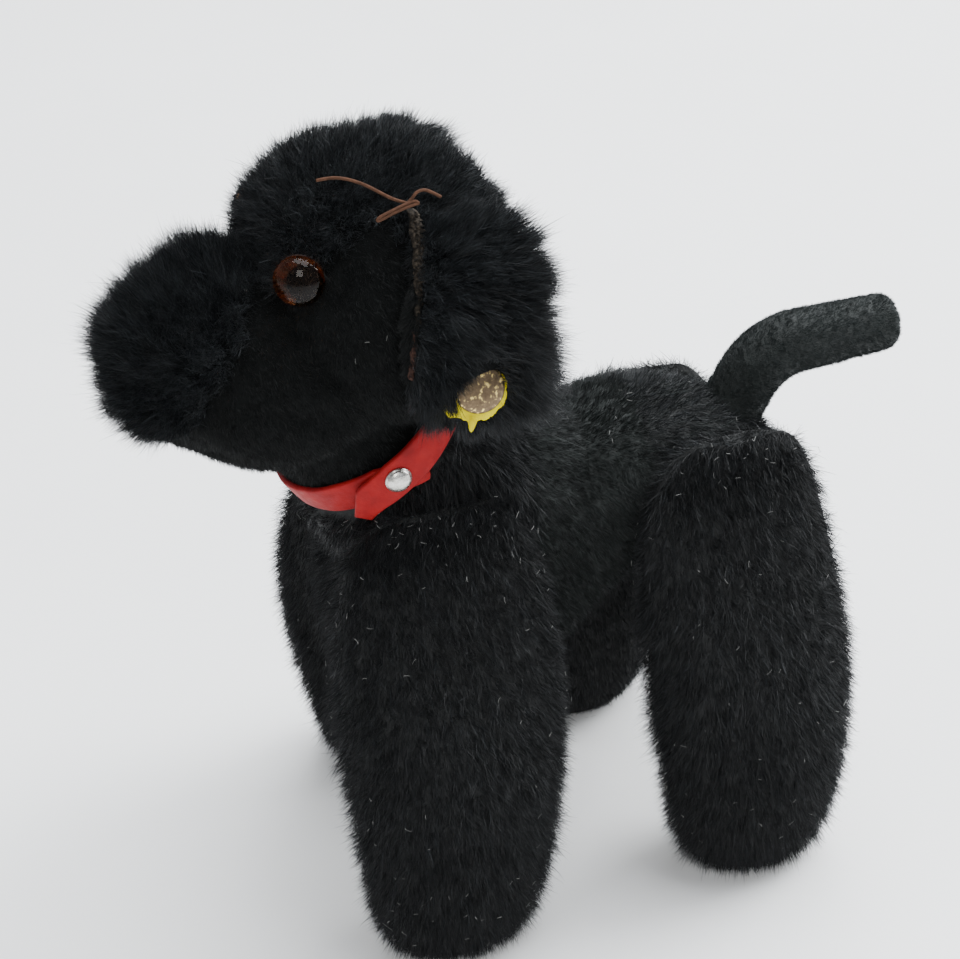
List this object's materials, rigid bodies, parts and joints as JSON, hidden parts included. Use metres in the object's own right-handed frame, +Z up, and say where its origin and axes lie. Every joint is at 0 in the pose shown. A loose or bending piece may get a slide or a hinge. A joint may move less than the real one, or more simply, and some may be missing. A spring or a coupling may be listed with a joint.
{
  "type": "jointed plush toy dog",
  "caption": "Standing black mohair toy dog with glass eyes, red collar, ear tag, disc-jointed neck and legs, and lifting ears.",
  "frame": {"origin": "centre of the whole toy's box in X and Y, at the soles' floor plane in Z", "axes": "+X to the toy's left, -Y towards its nose, +Z up"},
  "size_m": [0.077, 0.1411, 0.1468],
  "materials": {
    "mohair": "long black mohair plush",
    "short_pile": "short black pile",
    "ear_felt": "black felt",
    "stuffing": "wood-wool stuffing",
    "joint_board": "hard pressed board",
    "joint_steel": "plain steel",
    "eye_glass": "amber glass, painted behind",
    "eye_black": "black glass",
    "nose_thread": "black stitched thread",
    "worn_backing": "worn backing cloth showing at the seam",
    "repair_thread": "reddish brown thread",
    "tag_bronze": "tarnished metal",
    "yellow_felt": "yellow felt",
    "collar_red": "red leathercloth",
    "stud_steel": "plated steel"
  },
  "bodies": {
    "torso": {"body_chest": "mohair", "body_middle": "short_pile", "body_rump": "mohair", "body_filling": "stuffing", "hip_discs": "joint_board", "hip_washers": "joint_steel", "neck_disc_lower": "joint_board", "neck_washer": "joint_steel", "tail_cover": "short_pile", "tail_core": "joint_steel"},
    "head": {"head_side_left": "short_pile", "head_side_right": "short_pile", "head_crown": "mohair", "head_muzzle": "mohair", "head_filling": "stuffing", "neck_disc_upper": "joint_board", "neck_pin": "joint_steel", "eye_left": "eye_glass", "eye_right": "eye_glass", "eye_pupils": "eye_black", "eye_shanks": "joint_steel", "nose": "nose_thread", "repair_thread": "repair_thread"},
    "collar": {"collar_strap": "collar_red", "collar_end": "collar_red", "collar_stud": "stud_steel", "collar_stud_back": "stud_steel"},
    "ear_left": {"ear_left": "mohair", "ear_left_lining": "ear_felt", "ear_seam_strip": "worn_backing", "tag_disc": "tag_bronze", "tag_felt": "yellow_felt", "tag_rivet": "tag_bronze"},
    "ear_right": {"ear_right": "mohair", "ear_right_lining": "ear_felt"},
    "leg_front_left": {"leg_front_left": "mohair", "leg_front_left_filling": "stuffing", "leg_front_left_disc": "joint_board", "leg_front_left_pin": "joint_steel"},
    "leg_front_right": {"leg_front_right": "mohair", "leg_front_right_filling": "stuffing", "leg_front_right_disc": "joint_board", "leg_front_right_pin": "joint_steel"},
    "leg_rear_left": {"leg_rear_left": "mohair", "leg_rear_left_filling": "stuffing", "leg_rear_left_disc": "joint_board", "leg_rear_left_pin": "joint_steel"},
    "leg_rear_right": {"leg_rear_right": "mohair", "leg_rear_right_filling": "stuffing", "leg_rear_right_disc": "joint_board", "leg_rear_right_pin": "joint_steel"}
  },
  "joints": [
    {"name": "head_turn", "type": "hinge", "parent": "torso", "child": "head", "pos_m": [0, -0.0301, 0.095], "axis": [0, -0.5878, 0.809], "range_deg": [-70, 70]},
    {"name": "collar_turn", "type": "hinge", "parent": "torso", "child": "collar", "pos_m": [0, -0.0301, 0.095], "axis": [0, -0.5878, 0.809], "continuous": true},
    {"name": "ear_left_lift", "type": "hinge", "parent": "head", "child": "ear_left", "pos_m": [0.023, -0.031, 0.117], "axis": [-0.3469, 0.1542, 0.9251], "range_deg": [-20, 0], "stiffness_Nm_per_rad": 0.01},
    {"name": "ear_right_lift", "type": "hinge", "parent": "head", "child": "ear_right", "pos_m": [-0.023, -0.031, 0.117], "axis": [0.3469, 0.1542, 0.9251], "range_deg": [0, 20], "stiffness_Nm_per_rad": 0.01},
    {"name": "front_left_swing", "type": "hinge", "parent": "torso", "child": "leg_front_left", "pos_m": [0.0158, -0.0215, 0.0605], "axis": [1, 0, 0], "range_deg": [-75, 12]},
    {"name": "front_right_swing", "type": "hinge", "parent": "torso", "child": "leg_front_right", "pos_m": [-0.0158, -0.0215, 0.0605], "axis": [1, 0, 0], "range_deg": [-75, 12]},
    {"name": "rear_left_swing", "type": "hinge", "parent": "torso", "child": "leg_rear_left", "pos_m": [0.0158, 0.0285, 0.0695], "axis": [1, 0, 0], "range_deg": [-12, 75]},
    {"name": "rear_right_swing", "type": "hinge", "parent": "torso", "child": "leg_rear_right", "pos_m": [-0.0158, 0.0285, 0.0695], "axis": [1, 0, 0], "range_deg": [-12, 75]}
  ]
}
